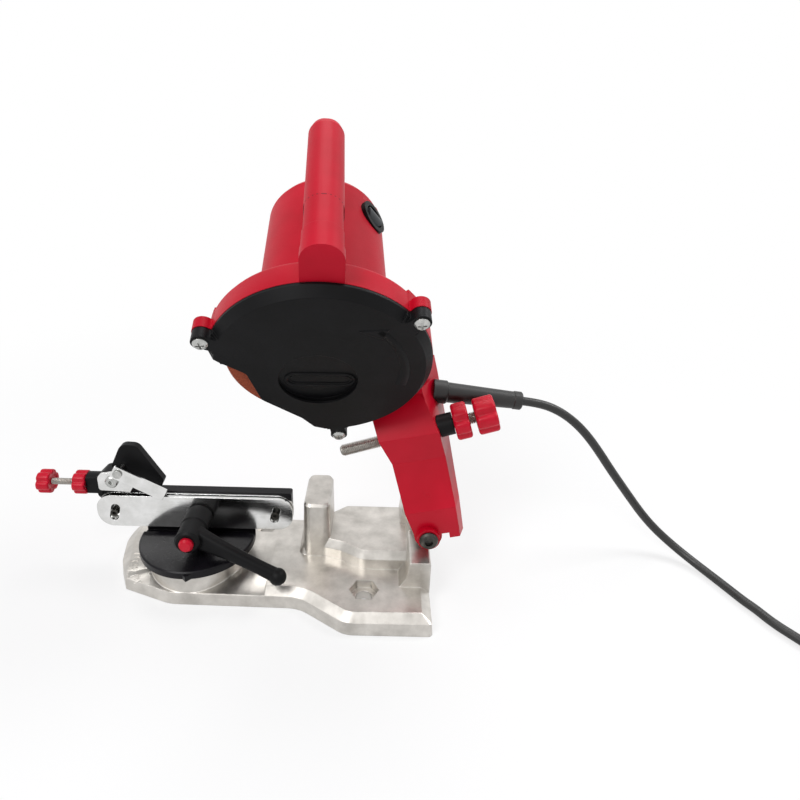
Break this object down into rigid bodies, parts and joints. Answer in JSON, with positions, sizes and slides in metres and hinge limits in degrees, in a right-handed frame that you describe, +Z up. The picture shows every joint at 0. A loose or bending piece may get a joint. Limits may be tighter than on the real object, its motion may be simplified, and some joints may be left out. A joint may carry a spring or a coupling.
{
  "type": "bench chain grinder",
  "caption": "Bench-mounted electric grinder for saw chain: a tilting motor head with a thin wheel over a turntable vise on a cast base.",
  "frame": {"origin": "axis of the front bench-bolt hole at the underside of the base", "axes": "+Z up, +X to the right towards the arm's pivot, +Y to the back"},
  "size_m": [0.608, 0.2217, 0.2956],
  "materials": {
    "cast_aluminium": "satin",
    "steel": "satin",
    "chrome_plate": "polished",
    "spring_steel": "satin",
    "black_cast": "satin",
    "red_paint": "satin",
    "red_plastic": "satin",
    "black_plastic": "matte",
    "grey_plastic": "matte",
    "abrasive": "matte",
    "laminations": "matte",
    "copper": "satin",
    "cord_rubber": "matte",
    "nickel": "polished"
  },
  "bodies": {
    "base": {"base_casting": "cast_aluminium", "pivot_bolt": "steel", "pivot_sleeve": "steel", "pivot_nut": "steel", "return_spring": "spring_steel", "cord_lead": "cord_rubber", "cord_coil": "cord_rubber", "plug_body": "cord_rubber", "plug_pins": "nickel"},
    "table": {"turntable_disc": "black_cast", "table_bolt": "steel", "table_washer": "steel", "vise_block": "black_cast", "rear_jaw": "chrome_plate", "guide_pins": "spring_steel", "vise_screws": "spring_steel", "stop_body": "black_plastic", "stop_plate": "chrome_plate", "stop_pin": "steel", "pawl_pin": "steel"},
    "jaw": {"front_jaw": "chrome_plate"},
    "lever": {"clamp_screw": "steel", "lever_handle": "black_plastic"},
    "button": {"lever_button": "red_plastic"},
    "pawl": {"stop_pawl": "chrome_plate"},
    "stop_screw": {"stop_rod": "steel"},
    "stop_grip": {"stop_knob": "red_plastic"},
    "stop_lock": {"stop_lock_knob": "red_plastic"},
    "head": {"arm_bracket": "red_paint", "arm_boss": "red_paint", "arm_screws": "steel", "screw_collar": "black_cast", "cord_sleeve": "cord_rubber", "wheel_housing": "red_plastic", "wheel_cover": "black_plastic", "cover_screws": "chrome_plate", "motor_housing": "red_plastic", "switch_bezel": "black_plastic", "motor_stator": "laminations", "motor_bearings": "steel", "bearing_plate": "cast_aluminium", "brush_holders": "copper"},
    "spindle": {"motor_shaft": "steel", "armature_core": "laminations", "commutator": "copper", "cooling_fan": "black_plastic", "inner_flange": "steel", "grinding_wheel": "abrasive", "outer_flange": "steel", "clamp_nut": "steel"},
    "rocker": {"switch_rocker": "grey_plastic"},
    "depth_screw": {"depth_rod": "steel"},
    "depth_grip": {"depth_knob": "red_plastic"},
    "depth_lock": {"depth_lock_knob": "red_plastic"}
  },
  "joints": [
    {"name": "table_swivel", "type": "hinge", "parent": "base", "child": "table", "pos_m": [-0.1144, 0.0296, 0.0302], "axis": [0, 0, 1], "range_deg": [-35, 20]},
    {"name": "jaw_slide", "type": "slide", "parent": "table", "child": "jaw", "axis": [0, -1, 0], "range_m": [0, 0.000625]},
    {"name": "lever_turn", "type": "hinge", "parent": "jaw", "child": "lever", "pos_m": [-0.1124, 0.0196, 0.045], "axis": [0, -1, 0], "range_deg": [0, 180]},
    {"name": "button_press", "type": "slide", "parent": "lever", "child": "button", "axis": [0, 1, 0], "range_m": [0, 0.0015], "stiffness_N_per_m": 300, "springref_m": -0.001},
    {"name": "pawl_lift", "type": "hinge", "parent": "table", "child": "pawl", "pos_m": [-0.1629, 0.0326, 0.077], "axis": [0, -1, 0], "range_deg": [0, 40], "stiffness_Nm_per_rad": 0.01, "springref_deg": -22.92},
    {"name": "stop_slide", "type": "slide", "parent": "table", "child": "stop_screw", "axis": [1, 0, 0], "range_m": [-0.006, 0.004]},
    {"name": "stop_turn", "type": "hinge", "parent": "stop_screw", "child": "stop_grip", "pos_m": [-0.2144, 0.0396, 0.0634], "axis": [1, 0, 0], "range_deg": [-2165, 1445]},
    {"name": "stop_lock_turn", "type": "hinge", "parent": "table", "child": "stop_lock", "pos_m": [-0.1944, 0.0396, 0.0634], "axis": [1, 0, 0], "range_deg": [-90, 90]},
    {"name": "head_swing", "type": "hinge", "parent": "base", "child": "head", "pos_m": [0.0414, 0.0296, 0.0421], "axis": [0, -1, 0], "range_deg": [0, 26], "stiffness_Nm_per_rad": 1.6, "springref_deg": -89.95},
    {"name": "spindle_spin", "type": "hinge", "parent": "head", "child": "spindle", "pos_m": [-0.0291, 0.0446, 0.18935], "axis": [-0.054, 0.866, 0.4971], "continuous": true},
    {"name": "rocker_tip", "type": "hinge", "parent": "head", "child": "rocker", "pos_m": [-0.00421, 0.08659, 0.23559], "axis": [-0.5638, -0.4373, 0.7007], "range_deg": [-8, 8]},
    {"name": "depth_slide", "type": "slide", "parent": "head", "child": "depth_screw", "axis": [0.9532, 0, 0.3024], "range_m": [-0.0038, 0.02]},
    {"name": "depth_turn", "type": "hinge", "parent": "depth_screw", "child": "depth_grip", "pos_m": [0.05223, 0.0456, 0.11137], "axis": [0.9532, 0, 0.3024], "range_deg": [-1095, 5765]},
    {"name": "depth_lock_turn", "type": "hinge", "parent": "head", "child": "depth_lock", "pos_m": [0.05223, 0.0456, 0.11137], "axis": [0.9532, 0, 0.3024], "range_deg": [-90, 90]}
  ],
  "couplings": [
    {"joint": "lever_turn", "follows": "jaw_slide", "rad_per_m": 5026.5},
    {"joint": "stop_turn", "follows": "stop_slide", "rad_per_m": 6283.2},
    {"joint": "depth_turn", "follows": "depth_slide", "rad_per_m": 5026.5}
  ]
}
